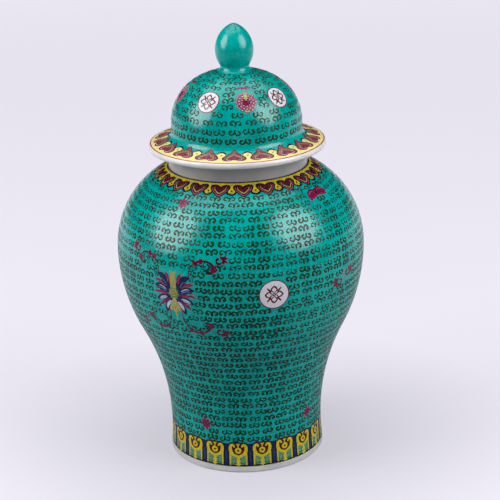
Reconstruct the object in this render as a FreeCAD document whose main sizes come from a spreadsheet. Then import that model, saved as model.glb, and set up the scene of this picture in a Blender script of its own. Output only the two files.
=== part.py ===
import FreeCAD, Part
import math
import os

import Sketcher

# A covered porcelain jar of baluster shape with a domed lid. Millimetres, +Z up. The origin is on
# the ground, at the centre of the foot ring.
#
# The jar is five sections luted together and the lid is four. Each is a body turned about Z (or a
# padded ring), drawn from its own base plane upwards, and placed on top of the piece it stands on.
# The joints are flat faces or a plain cylinder, so that touching pieces share a face.

SIZES = [
    # name, millimetres, what it is
    ("foot_height", 14.0, "foot ring, ground to its joint with the lower body"),
    ("foot_width", 8.0, "width of the ring that the jar stands on"),
    ("foot_recess", 6.0, "hollow under the floor of the jar"),
    ("foot_edge", 1.4, "rounding of the foot's ground edges"),
    ("waist_radius", 70.0, "narrowest outside radius, just above the foot"),
    ("waist_height", 26.0, "height of the narrowest place above the ground"),
    ("flare_radius", 217.0, "hollow curve that sweeps out from the waist"),
    ("belly_radius", 112.0, "widest outside radius"),
    ("lower_height", 185.0, "lower body, foot ring to the widest place"),
    ("shoulder_rise", 75.0, "upper body, widest place to the neck"),
    ("body_wall", 6.0, "wall of the lower and upper body"),
    ("neck_radius", 62.4, "outside radius of the neck"),
    ("neck_wall", 6.0, "wall of the neck"),
    ("neck_height", 15.5, "neck, shoulder to the lid's seat"),
    ("lip_edge", 1.2, "rounding of the neck's lip"),
    ("rim_clearance", 1.2, "gap between the neck's bore and the lid's locating rim"),
    ("rim_wall", 4.6, "wall of the locating rim"),
    ("rim_depth", 14.0, "how far the locating rim drops into the neck"),
    ("rim_edge", 1.0, "rounding of the locating rim's lower edges"),
    ("brim_overhang", 17.0, "how far the brim stands out past the neck"),
    ("brim_edge_radius", 3.0, "round edge of the brim, half its thickness there"),
    ("brim_height", 16.0, "brim, seat to the foot of the dome"),
    ("brim_flare", 7.0, "hollow curve between the brim and the dome"),
    ("dome_step", 4.0, "how far the dome stands inside the neck's outside radius"),
    ("dome_wall", 5.0, "wall of the dome"),
    ("dome_rise", 6.5, "straight foot of the dome's side"),
    ("dome_corner", 45.0, "round of the dome's side"),
    ("dome_height", 53.0, "dome, brim to the flat that the knob stands on"),
    ("knob_foot_radius", 15.0, "knob where it meets the dome"),
    ("knob_cove", 5.4, "hollow curve of the knob's foot"),
    ("knob_waist_radius", 12.9, "narrowest place of the knob"),
    ("knob_waist_height", 4.8, "height of the knob's waist above the dome"),
    ("knob_radius", 17.0, "widest place of the knob"),
    ("knob_belly_height", 18.3, "height of the widest place above the dome"),
    ("knob_tip", 6.0, "round of the knob's tip"),
    ("knob_height", 41.5, "knob, dome to tip"),
]
VALUE = {name: value for name, value, note in SIZES}

# Sums of sizes that more than one piece uses.
FLARE_CENTRE = "waist_radius + flare_radius"
FOOT_BORE = "waist_radius - foot_width"
NECK_BORE = "neck_radius - neck_wall"
RIM_RADIUS = NECK_BORE + " - rim_clearance"
RIM_BORE = RIM_RADIUS + " - rim_wall"
DOME_RADIUS = "neck_radius - dome_step"
BELLY_LEVEL = "foot_height + lower_height"
SHOULDER_LEVEL = BELLY_LEVEL + " + shoulder_rise"
SEAT_LEVEL = SHOULDER_LEVEL + " + neck_height"
DOME_LEVEL = SEAT_LEVEL + " + brim_height"
KNOB_LEVEL = DOME_LEVEL + " + dome_height"

# Names for the sketch's own numbering of points and axes.
START, END, CENTRE = 1, 2, 3
ORIGIN = (-1, 1)
LEVEL_AXIS, TURN_AXIS = -1, -2
ACW, CW = 1, -1
LEVEL_TOLERANCE = 1e-3


def amount(total):
    """The value of a sum of sizes, such as 'neck_radius - neck_wall'."""
    result = 0.0
    sign = 1.0
    for word in total.split():
        if word in ("+", "-"):
            sign = 1.0 if word == "+" else -1.0
        else:
            result += sign * VALUE[word]
    return result


def formula(total):
    """The same sum as an expression on the sheet."""
    return " ".join(word if word in ("+", "-") else "Sizes." + word for word in total.split())


def make_sheet(doc):
    sheet = doc.addObject("Spreadsheet::Sheet", "Sizes")
    for row, (name, value, note) in enumerate(SIZES, start=1):
        sheet.set(f"A{row}", name)
        sheet.set(f"B{row}", str(value))
        sheet.setAlias(f"B{row}", name)
        sheet.set(f"C{row}", note)
    doc.recompute()


def make_body(doc, name, level=None):
    """A body with a Label of its own, standing at a level given as a sum of heights."""
    body = doc.addObject("PartDesign::Body", name)
    body.Label = name
    if level:
        body.Placement = FreeCAD.Placement(FreeCAD.Vector(0, 0, amount(level)), FreeCAD.Rotation())
        body.setExpression("Placement.Base.z", formula(level))
    return body


def make_sketch(body, role):
    """A sketch on one of the body's own origin planes."""
    plane = next(item for item in body.Origin.OriginFeatures if item.Role == role)
    sketch = body.newObject("Sketcher::SketchObject", body.Name + "_" + role)
    sketch.AttachmentSupport = [(plane, "")]
    sketch.MapMode = "FlatFace"
    return sketch


class Section:
    """A closed outline in radius (across) and height (up), turned about Z to make a piece.

    Edges run in order round the outline. Each is kept as its number in the sketch and which of its
    two ends comes first. The first drawing is close to the final one, and the constraints settle it.
    """

    def __init__(self, body):
        self.body = body
        self.sketch = make_sketch(body, "XZ_Plane")
        self.edges = []

    def line(self, first, last):
        shape = Part.LineSegment(FreeCAD.Vector(*first, 0), FreeCAD.Vector(*last, 0))
        self.edges.append((self.sketch.addGeometry(shape), START, END))
        return len(self.edges) - 1

    def arc(self, centre, first, last, way):
        """An arc about centre from first to last, anticlockwise (ACW) or clockwise (CW)."""
        begin, finish = (first, last) if way == ACW else (last, first)
        radius = math.dist(centre, first)
        circle = Part.Circle(FreeCAD.Vector(*centre, 0), FreeCAD.Vector(0, 0, 1), radius)
        angles = [math.atan2(y - centre[1], x - centre[0]) for x, y in (begin, finish)]
        number = self.sketch.addGeometry(Part.ArcOfCircle(circle, *angles))
        ends = (START, END) if way == ACW else (END, START)
        self.edges.append((number, *ends))
        return len(self.edges) - 1

    def rule(self, kind, *places):
        return self.sketch.addConstraint(Sketcher.Constraint(kind, *places))

    def point(self, edge, which):
        """A point of an edge: its first end (START), its last end (END) or its CENTRE."""
        number = self.edges[edge][0]
        return (number, CENTRE) if which == CENTRE else (number, self.edges[edge][which])

    def close(self, smooth=()):
        """Join each edge to the next. An edge listed in smooth runs tangent into the next one."""
        for edge in range(len(self.edges)):
            following = (edge + 1) % len(self.edges)
            kind = "Tangent" if edge in smooth else "Coincident"
            self.rule(kind, *self.point(edge, END), *self.point(following, START))

    def upright(self, *edges):
        for edge in edges:
            self.rule("Vertical", self.edges[edge][0])

    def level(self, *edges):
        for edge in edges:
            self.rule("Horizontal", self.edges[edge][0])

    def on_base(self, edge, which):
        self.rule("PointOnObject", *self.point(edge, which), LEVEL_AXIS)

    def on_axis(self, edge, which):
        self.rule("PointOnObject", *self.point(edge, which), TURN_AXIS)

    def same_centre(self, edge, other):
        self.rule("Coincident", *self.point(edge, CENTRE), *self.point(other, CENTRE))

    def bind(self, constraint, total):
        self.sketch.setExpression(f"Constraints[{constraint}]", formula(total))

    def across(self, edge, which, total):
        """Hold a point at a radius."""
        place = self.point(edge, which)
        self.bind(self.rule("DistanceX", *ORIGIN, *place, amount(total)), total)

    def up(self, edge, which, total):
        """Hold a point at a height."""
        place = self.point(edge, which)
        self.bind(self.rule("DistanceY", *ORIGIN, *place, amount(total)), total)

    def radius(self, edge, total):
        self.bind(self.rule("Radius", self.edges[edge][0], amount(total)), total)

    def turn(self):
        """Revolve the finished outline about Z."""
        feature = self.body.newObject("PartDesign::Revolution", self.body.Name + "_turned")
        feature.Profile = self.sketch
        feature.ReferenceAxis = (self.sketch, ["V_Axis"])
        feature.Angle = 360.0
        self.sketch.Document.recompute()
        return feature


def on_circle(centre, radius, height, side):
    """The point of a circle at a height, on its near (-1) or far (+1) side from the axis."""
    reach = math.sqrt(radius**2 - (height - centre[1]) ** 2)
    return (centre[0] + side * reach, height)


def make_disc(body, height, *radii):
    """A plain disc standing on the body's base plane, or a ring if a second radius is given."""
    sketch = make_sketch(body, "XY_Plane")
    for total in radii:
        circle = Part.Circle(FreeCAD.Vector(0, 0, 0), FreeCAD.Vector(0, 0, 1), amount(total))
        number = sketch.addGeometry(circle)
        sketch.addConstraint(Sketcher.Constraint("Coincident", number, CENTRE, *ORIGIN))
        rule = sketch.addConstraint(Sketcher.Constraint("Radius", number, amount(total)))
        sketch.setExpression(f"Constraints[{rule}]", formula(total))
    feature = body.newObject("PartDesign::Pad", body.Name + "_pad")
    feature.Profile = sketch
    feature.Length = amount(height)
    feature.setExpression("Length", formula(height))
    body.Document.recompute()
    return feature


def round_edges(body, feature, height, total):
    """Round every circular edge of the feature that lies at a height above its base plane."""
    names = [
        f"Edge{number}"
        for number, edge in enumerate(feature.Shape.Edges, start=1)
        if abs(edge.BoundBox.ZMin - height) < LEVEL_TOLERANCE
        and abs(edge.BoundBox.ZMax - height) < LEVEL_TOLERANCE
    ]
    fillet = body.newObject("PartDesign::Fillet", body.Name + "_edge")
    fillet.Base = (feature, names)
    fillet.Radius = amount(total)
    fillet.setExpression("Radius", formula(total))
    body.Document.recompute()


def make_foot_ring(doc):
    """The ring the jar stands on. Its outside is the start of the jar's hollow lower curve."""
    body = make_body(doc, "foot_ring")
    bore = amount(FOOT_BORE)
    top = amount("foot_height")
    centre = (amount(FLARE_CENTRE), amount("waist_height"))
    ground = on_circle(centre, amount("flare_radius"), 0.0, -1)
    joint = on_circle(centre, amount("flare_radius"), top, -1)

    section = Section(body)
    under = section.line((bore, 0.0), ground)
    outside = section.arc(centre, ground, joint, CW)
    land = section.line(joint, (bore, top))
    inside = section.line((bore, top), (bore, 0.0))
    section.close()
    section.on_base(under, START)
    section.level(under, land)
    section.upright(inside)
    section.across(outside, CENTRE, FLARE_CENTRE)
    section.up(outside, CENTRE, "waist_height")
    section.radius(outside, "flare_radius")
    section.across(inside, START, FOOT_BORE)
    section.up(outside, END, "foot_height")
    round_edges(body, section.turn(), 0.0, "foot_edge")


def make_base_disc(doc):
    """The floor of the jar, flush with the top of the foot ring and raised off the ground."""
    body = make_body(doc, "base_disc", "foot_recess")
    make_disc(body, "foot_height - foot_recess", FOOT_BORE)


def belly_curve(flare_centre, top):
    """The belly's arc, level with the joint above it and tangent to the flare: centre and meeting."""
    flare = amount("flare_radius")
    belly = amount("belly_radius")
    across = flare_centre[0] - belly
    up = top - flare_centre[1]
    radius = (up**2 + across**2 - flare**2) / (2 * (flare - across))
    centre = (belly - radius, top)
    share = radius / (radius + flare)
    meeting = tuple(c + (f - c) * share for c, f in zip(centre, flare_centre))
    return centre, meeting


def make_lower_body(doc):
    """The wall that sweeps out of the waist in a hollow curve and rounds over to the belly."""
    body = make_body(doc, "lower_body", "foot_height")
    wall = amount("body_wall")
    top = amount("lower_height")
    belly = amount("belly_radius")
    flare = amount("flare_radius")
    flare_centre = (amount(FLARE_CENTRE), amount("waist_height - foot_height"))
    belly_centre, meeting = belly_curve(flare_centre, top)
    inner_share = (flare + wall) / flare
    inner_meeting = tuple(f + (m - f) * inner_share for f, m in zip(flare_centre, meeting))
    outer_foot = on_circle(flare_centre, flare, 0.0, -1)
    inner_foot = on_circle(flare_centre, flare + wall, 0.0, -1)

    section = Section(body)
    flare_out = section.arc(flare_centre, outer_foot, meeting, CW)
    belly_out = section.arc(belly_centre, meeting, (belly, top), ACW)
    joint = section.line((belly, top), (belly - wall, top))
    belly_in = section.arc(belly_centre, (belly - wall, top), inner_meeting, CW)
    flare_in = section.arc(flare_centre, inner_meeting, inner_foot, ACW)
    foot = section.line(inner_foot, outer_foot)
    section.close(smooth=(flare_out, belly_in))
    section.level(joint, foot)
    section.on_base(foot, END)
    section.across(flare_out, CENTRE, FLARE_CENTRE)
    section.up(flare_out, CENTRE, "waist_height - foot_height")
    section.radius(flare_out, "flare_radius")
    section.same_centre(flare_in, flare_out)
    section.across(belly_out, END, "belly_radius")
    section.up(belly_out, END, "lower_height")
    section.up(belly_out, CENTRE, "lower_height")
    section.same_centre(belly_in, belly_out)
    section.across(belly_in, START, "belly_radius - body_wall")
    section.turn()


def make_upper_body(doc):
    """The shoulder, one round curve from the belly in to a flat land under the neck."""
    body = make_body(doc, "upper_body", BELLY_LEVEL)
    wall = amount("body_wall")
    belly = amount("belly_radius")
    neck = amount("neck_radius")
    bore = amount(NECK_BORE)
    top = amount("shoulder_rise")
    inset = belly - neck
    radius = (inset**2 + top**2) / (2 * inset)
    centre = (belly - radius, 0.0)
    under_land = (bore, math.sqrt((radius - wall) ** 2 - (bore - centre[0]) ** 2))

    section = Section(body)
    outside = section.arc(centre, (belly, 0.0), (neck, top), ACW)
    land = section.line((neck, top), (bore, top))
    mouth = section.line((bore, top), under_land)
    inside = section.arc(centre, under_land, (belly - wall, 0.0), CW)
    joint = section.line((belly - wall, 0.0), (belly, 0.0))
    section.close()
    section.level(land, joint)
    section.upright(mouth)
    section.on_base(outside, START)
    section.on_base(outside, CENTRE)
    section.same_centre(inside, outside)
    section.across(outside, START, "belly_radius")
    section.across(outside, END, "neck_radius")
    section.up(outside, END, "shoulder_rise")
    section.across(mouth, START, NECK_BORE)
    section.across(inside, END, "belly_radius - body_wall")
    section.turn()


def make_neck(doc):
    """The upright collar whose flat top is the lid's seat."""
    body = make_body(doc, "neck", SHOULDER_LEVEL)
    ring = make_disc(body, "neck_height", "neck_radius", NECK_BORE)
    round_edges(body, ring, amount("neck_height"), "lip_edge")


def make_lid_locating_rim(doc):
    """The collar that drops into the neck with a gap all round, and keeps the lid central."""
    body = make_body(doc, "lid_locating_rim", SEAT_LEVEL + " - rim_depth")
    ring = make_disc(body, "rim_depth", RIM_RADIUS, RIM_BORE)
    round_edges(body, ring, 0.0, "rim_edge")


def make_lid_brim(doc):
    """The brim: flat below, a round edge, and a top that rises and sweeps up into the dome."""
    body = make_body(doc, "lid_brim", SEAT_LEVEL)
    bore = amount(RIM_BORE)
    dome = amount(DOME_RADIUS)
    top = amount("brim_height")
    edge = amount("brim_edge_radius")
    flare = amount("brim_flare")
    edge_centre = (amount("neck_radius + brim_overhang - brim_edge_radius"), edge)
    flare_centre = (dome + flare, top)
    # The sloping top crosses between the two circles and touches both.
    run = math.dist(edge_centre, flare_centre)
    lean = math.atan2(flare_centre[1] - edge_centre[1], flare_centre[0] - edge_centre[0])
    normal = lean - math.acos((edge + flare) / run)
    toward = (math.cos(normal), math.sin(normal))
    edge_touch = (edge_centre[0] + edge * toward[0], edge_centre[1] + edge * toward[1])
    flare_touch = (flare_centre[0] - flare * toward[0], flare_centre[1] - flare * toward[1])

    section = Section(body)
    under = section.line((bore, 0.0), (edge_centre[0], 0.0))
    bead = section.arc(edge_centre, (edge_centre[0], 0.0), edge_touch, ACW)
    slope = section.line(edge_touch, flare_touch)
    sweep = section.arc(flare_centre, flare_touch, (dome, top), CW)
    land = section.line((dome, top), (bore, top))
    inside = section.line((bore, top), (bore, 0.0))
    section.close(smooth=(bead, slope))
    section.on_base(under, START)
    section.level(under, land)
    section.upright(inside)
    section.across(under, START, RIM_BORE)
    section.across(under, END, "neck_radius + brim_overhang - brim_edge_radius")
    section.across(bead, CENTRE, "neck_radius + brim_overhang - brim_edge_radius")
    section.up(bead, CENTRE, "brim_edge_radius")
    section.across(sweep, CENTRE, DOME_RADIUS + " + brim_flare")
    section.up(sweep, CENTRE, "brim_height")
    section.across(sweep, END, DOME_RADIUS)
    section.up(sweep, END, "brim_height")
    section.turn()


def crown_curve(corner_centre, corner, land):
    """The crown's arc, centred on the axis, tangent to the corner and passing through the land.

    Its centre is as far from the land as from the corner's centre plus the corner's radius. That is
    a quadratic in the centre's height, and the lower root is the crown.
    """
    gap = land[1] - corner_centre[1]
    spread = land[0] ** 2 + land[1] ** 2 - corner_centre[0] ** 2 - corner_centre[1] ** 2 - corner**2
    square = 4 * (gap**2 - corner**2)
    single = 8 * corner**2 * corner_centre[1] - 4 * spread * gap
    fixed = spread**2 - 4 * corner**2 * (corner_centre[0] ** 2 + corner_centre[1] ** 2)
    root = math.sqrt(single**2 - 4 * square * fixed)
    centre = (0.0, (-single - root) / (2 * square))
    share = math.dist(land, centre) / math.dist(corner_centre, centre)
    meeting = tuple(c + (k - c) * share for c, k in zip(centre, corner_centre))
    return centre, meeting


def make_lid_dome(doc):
    """The hollow dome: a short upright side, a round corner and a flatter crown."""
    body = make_body(doc, "lid_dome", DOME_LEVEL)
    wall = amount("dome_wall")
    side = amount(DOME_RADIUS)
    rise = amount("dome_rise")
    corner = amount("dome_corner")
    top = amount("dome_height")
    land_radius = amount("knob_foot_radius")
    corner_centre = (side - corner, rise)
    centre, meeting = crown_curve(corner_centre, corner, (land_radius, top))
    crown = math.dist(centre, meeting)
    share = (crown - wall) / crown
    inner_meeting = tuple(c + (m - c) * share for c, m in zip(centre, meeting))
    inner_top = (0.0, centre[1] + crown - wall)

    section = Section(body)
    side_out = section.line((side, 0.0), (side, rise))
    corner_out = section.arc(corner_centre, (side, rise), meeting, ACW)
    crown_out = section.arc(centre, meeting, (land_radius, top), ACW)
    land = section.line((land_radius, top), (0.0, top))
    middle = section.line((0.0, top), inner_top)
    crown_in = section.arc(centre, inner_top, inner_meeting, CW)
    corner_in = section.arc(corner_centre, inner_meeting, (side - wall, rise), CW)
    side_in = section.line((side - wall, rise), (side - wall, 0.0))
    foot = section.line((side - wall, 0.0), (side, 0.0))
    section.close(smooth=(corner_out, crown_in))
    section.upright(side_out, side_in)
    section.level(land, foot)
    section.on_base(side_out, START)
    section.across(side_out, START, DOME_RADIUS)
    section.up(side_out, END, "dome_rise")
    section.up(corner_out, CENTRE, "dome_rise")
    section.radius(corner_out, "dome_corner")
    section.on_axis(crown_out, CENTRE)
    section.across(crown_out, END, "knob_foot_radius")
    section.up(crown_out, END, "dome_height")
    section.on_axis(land, END)
    section.on_axis(middle, END)
    section.same_centre(crown_in, crown_out)
    section.same_centre(corner_in, corner_out)
    section.across(side_in, START, DOME_RADIUS + " - dome_wall")
    section.up(side_in, START, "dome_rise")
    section.turn()


def bud_centre(widest, other):
    """The centre, level with the widest point, of the arc through it and another point."""
    inset = widest[0] - other[0]
    radius = (inset**2 + (widest[1] - other[1]) ** 2) / (2 * inset)
    return (widest[0] - radius, widest[1])


def tip_curve(widest, tip_centre, tip):
    """The bud's upper arc, level with the widest point and tangent to the tip: centre and meeting."""
    up = tip_centre[1] - widest[1]
    radius = (widest[0] ** 2 + up**2 - tip**2) / (2 * (widest[0] - tip))
    centre = (widest[0] - radius, widest[1])
    share = radius / (radius - tip)
    meeting = tuple(c + (t - c) * share for c, t in zip(centre, tip_centre))
    return centre, meeting


def cove_centre(low, high, radius):
    """The centre, on the outer side, of the hollow arc of a radius between two points."""
    half = math.dist(low, high) / 2
    reach = math.sqrt(radius**2 - half**2)
    across = (high[0] - low[0]) / (2 * half)
    up = (high[1] - low[1]) / (2 * half)
    return ((low[0] + high[0]) / 2 + up * reach, (low[1] + high[1]) / 2 - across * reach)


def make_lid_knob(doc):
    """The bud: a hollowed foot, a waist, and a round body that closes to a soft point."""
    body = make_body(doc, "lid_knob", KNOB_LEVEL)
    tip_radius = amount("knob_tip")
    foot = (amount("knob_foot_radius"), 0.0)
    waist = (amount("knob_waist_radius"), amount("knob_waist_height"))
    widest = (amount("knob_radius"), amount("knob_belly_height"))
    tip = (0.0, amount("knob_height"))
    tip_centre = (0.0, tip[1] - tip_radius)
    upper_centre, meeting = tip_curve(widest, tip_centre, tip_radius)

    section = Section(body)
    under = section.line((0.0, 0.0), foot)
    cove = section.arc(cove_centre(foot, waist, amount("knob_cove")), foot, waist, CW)
    lower = section.arc(bud_centre(widest, waist), waist, widest, ACW)
    upper = section.arc(upper_centre, widest, meeting, ACW)
    point = section.arc(tip_centre, meeting, tip, ACW)
    middle = section.line(tip, (0.0, 0.0))
    section.close(smooth=(upper,))
    section.rule("Coincident", *section.point(under, START), *ORIGIN)
    section.level(under)
    section.across(under, END, "knob_foot_radius")
    section.radius(cove, "knob_cove")
    section.across(cove, END, "knob_waist_radius")
    section.up(cove, END, "knob_waist_height")
    section.across(lower, END, "knob_radius")
    section.up(lower, END, "knob_belly_height")
    section.up(lower, CENTRE, "knob_belly_height")
    section.up(upper, CENTRE, "knob_belly_height")
    section.on_axis(point, CENTRE)
    section.radius(point, "knob_tip")
    section.on_axis(point, END)
    section.up(middle, START, "knob_height")
    section.turn()


def check(doc):
    """Stop before anything is written if a feature failed or a sketch is left loose."""
    for item in doc.Objects:
        for state in ("Invalid", "Error"):
            if state in item.State:
                raise RuntimeError(f"{item.Name} is {state}")
        if item.TypeId == "Sketcher::SketchObject" and not item.FullyConstrained:
            raise RuntimeError(f"{item.Name} is not fully constrained")
    for body in bodies(doc):
        if body.Shape.isNull() or not body.Shape.isValid() or len(body.Shape.Solids) != 1:
            raise RuntimeError(f"{body.Label} is not one valid solid")


def bodies(doc):
    return [item for item in doc.Objects if item.TypeId == "PartDesign::Body"]


def write(doc):
    os.makedirs("parts", exist_ok=True)
    for body in bodies(doc):
        body.Shape.exportStep(os.path.join("parts", body.Label + ".step"))
        box = body.Shape.optimalBoundingBox(False, False)
        print(f"{body.Label}: z {box.ZMin:.2f} to {box.ZMax:.2f}, across {box.XLength:.2f} mm")


def main():
    doc = FreeCAD.newDocument("covered_jar")
    make_sheet(doc)
    make_foot_ring(doc)
    make_base_disc(doc)
    make_lower_body(doc)
    make_upper_body(doc)
    make_neck(doc)
    make_lid_brim(doc)
    make_lid_locating_rim(doc)
    make_lid_dome(doc)
    make_lid_knob(doc)
    doc.recompute()
    check(doc)
    write(doc)


main()
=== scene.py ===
"""Looks of the ginger jar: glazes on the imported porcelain, and its enamelled ornament as thin relief."""

import math
import random
from itertools import groupby

import bpy
import numpy as np
from mathutils import Matrix, Vector


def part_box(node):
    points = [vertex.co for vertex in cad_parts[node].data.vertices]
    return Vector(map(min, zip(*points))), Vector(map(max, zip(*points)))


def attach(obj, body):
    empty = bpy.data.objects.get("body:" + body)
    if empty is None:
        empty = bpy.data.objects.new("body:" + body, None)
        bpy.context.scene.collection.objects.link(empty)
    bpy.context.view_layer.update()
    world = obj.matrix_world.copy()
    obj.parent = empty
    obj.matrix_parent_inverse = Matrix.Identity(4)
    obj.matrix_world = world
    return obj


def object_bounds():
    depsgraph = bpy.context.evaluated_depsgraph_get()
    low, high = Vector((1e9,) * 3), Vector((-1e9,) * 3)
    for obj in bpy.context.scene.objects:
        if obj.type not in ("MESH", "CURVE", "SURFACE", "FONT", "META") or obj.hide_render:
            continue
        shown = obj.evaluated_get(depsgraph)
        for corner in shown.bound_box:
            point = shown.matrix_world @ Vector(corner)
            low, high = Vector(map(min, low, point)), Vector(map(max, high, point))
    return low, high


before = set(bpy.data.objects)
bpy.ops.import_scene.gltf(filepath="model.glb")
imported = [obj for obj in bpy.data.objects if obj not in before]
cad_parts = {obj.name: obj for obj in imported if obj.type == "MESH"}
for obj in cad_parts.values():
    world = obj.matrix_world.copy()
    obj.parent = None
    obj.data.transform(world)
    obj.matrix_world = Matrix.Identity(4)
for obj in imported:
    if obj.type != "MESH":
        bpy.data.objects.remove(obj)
cad_low, cad_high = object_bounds()

MM = 0.001  # lengths are written in millimetres and become metres when a mesh is made
SEED = 7
TURN = 360.0
SAME_POINT = 0.01  # points of two nodes this near are one point of the outline
AXIS_RADIUS = 0.5  # nearer to the axis than this, sideways mm are not turned into a wider angle

# ---------------- the surfaces that are painted


def seam_graph(node):
    """Neighbours of each (radius, height) point, in mm, on a turned node's line at its seam."""
    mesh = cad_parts[node].data
    tiny = 1e-6
    on_line = {}
    for vertex in mesh.vertices:
        x, y, z = vertex.co
        if abs(y) < tiny and x > -tiny:
            on_line[vertex.index] = (round(x / MM, 3), round(z / MM, 3))
    graph = {point: set() for point in on_line.values()}
    for edge in mesh.edges:
        a, b = (on_line.get(i) for i in edge.vertices)
        if a is not None and b is not None and a != b:
            graph[a].add(b)
            graph[b].add(a)
    return graph


def walk(graph, point, upward):
    """The outer line from a point, up or down, as far as the flat face of a joint."""
    flat, short = 1e-3, 1.0
    line = []
    seen = {point}
    while True:
        ways = [p for p in graph[point] if p not in seen]
        if not line:
            ways = [p for p in ways if (p[1] > point[1]) == upward]
        ways = [p for p in ways if abs(p[1] - point[1]) > flat or abs(p[0] - point[0]) < short]
        if not ways:
            return line
        point = max(ways, key=lambda p: p[0])
        seen.add(point)
        line.append(point)


def outer_line(*nodes):
    """The outside of the nodes, from the top node to the bottom one, as (radius, height) points."""
    line = []
    for node in nodes:
        graph = seam_graph(node)
        widest = max(graph)
        part = walk(graph, widest, True)[::-1] + [widest] + walk(graph, widest, False)
        if line and math.dist(line[-1], part[0]) < SAME_POINT:
            part = part[1:]
        line += part
    return line


class Surface:
    """The outside of a body. A place on it is an angle, 0 at -Y and growing to +X, and a run.

    The run is the length of the outline from the body's top down to the place, in mm.
    """

    def __init__(self, *nodes):
        line = np.array(outer_line(*nodes))
        self.radii, self.heights = line[:, 0], line[:, 1]
        steps = np.hypot(np.diff(self.radii), np.diff(self.heights))
        self.runs = np.concatenate([[0.0], np.cumsum(steps)])
        out = np.gradient(-self.heights, self.runs)
        up = np.gradient(self.radii, self.runs)
        size = np.hypot(out, up)
        self.out, self.up = out / size, up / size

    def radius(self, run):
        return float(np.interp(run, self.runs, self.radii))

    def run_at(self, height):
        return float(np.interp(-height, -self.heights, self.runs))

    def positions(self, places):
        """Points in metres for places given as (angle, sideways mm, run, lift)."""
        angle, side, run, lift = np.array(places).T
        radius = np.interp(run, self.runs, self.radii)
        height = np.interp(run, self.runs, self.heights)
        turned = np.radians(angle) + side / np.maximum(radius, AXIS_RADIUS)
        radius = radius + lift * np.interp(run, self.runs, self.out)
        height = height + lift * np.interp(run, self.runs, self.up)
        return np.stack([radius * np.sin(turned), -radius * np.cos(turned), height], 1) * MM


JAR = Surface("upper_body", "lower_body", "foot_ring")
LID = Surface("lid_knob", "lid_dome", "lid_brim")

# ---------------- brushwork

SINK = 0.02  # how far a stroke's edge goes into what it lies on
CREST = 0.05  # how high its middle stands
STEP = 0.05  # from one coat of enamel to the next
EDGE = 0.25  # width of the sloping edge of a ground
SHAPE_RINGS = (0.3, 0.6, 0.88, 1.0)
DOT_RINGS = (0.6, 1.0)
LINE_COLUMNS = 180  # columns of a thin line round the jar
BRIM_COLUMNS = 240  # and round the wider turn of the brim
SCALLOP = 0.6  # below 1, the arcs of a scalloped edge are fuller than a cosine's


def placed(name, data):
    """A new object in the scene."""
    thing = bpy.data.objects.new(name, data)
    bpy.context.scene.collection.objects.link(thing)
    return thing


def heading(start, end):
    """The direction from one point to another, as a unit vector."""
    du, dv = end[0] - start[0], end[1] - start[1]
    size = math.hypot(du, dv) or 1.0
    return du / size, dv / size


class Spot:
    """A place on a surface that a motif is drawn about: u to the right and v up, in mm."""

    def __init__(self, angle, run, turn=0.0, size=1.0, mirror=False):
        self.angle, self.run = angle, run
        self.cos = math.cos(math.radians(turn)) * size
        self.sin = math.sin(math.radians(turn)) * size
        self.hand = -1 if mirror else 1

    def place(self, u, v, lift):
        u *= self.hand
        return self.angle, u * self.cos - v * self.sin, self.run - u * self.sin - v * self.cos, lift

    def near(self, surface, u, v, turn=0.0, size=1.0, mirror=False):
        """Another spot at (u, v) from this one."""
        angle, side, run, _ = self.place(u, v, 0)
        moved = math.degrees(side / surface.radius(run))
        return Spot(angle + moved, run, turn, size, mirror)


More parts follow.
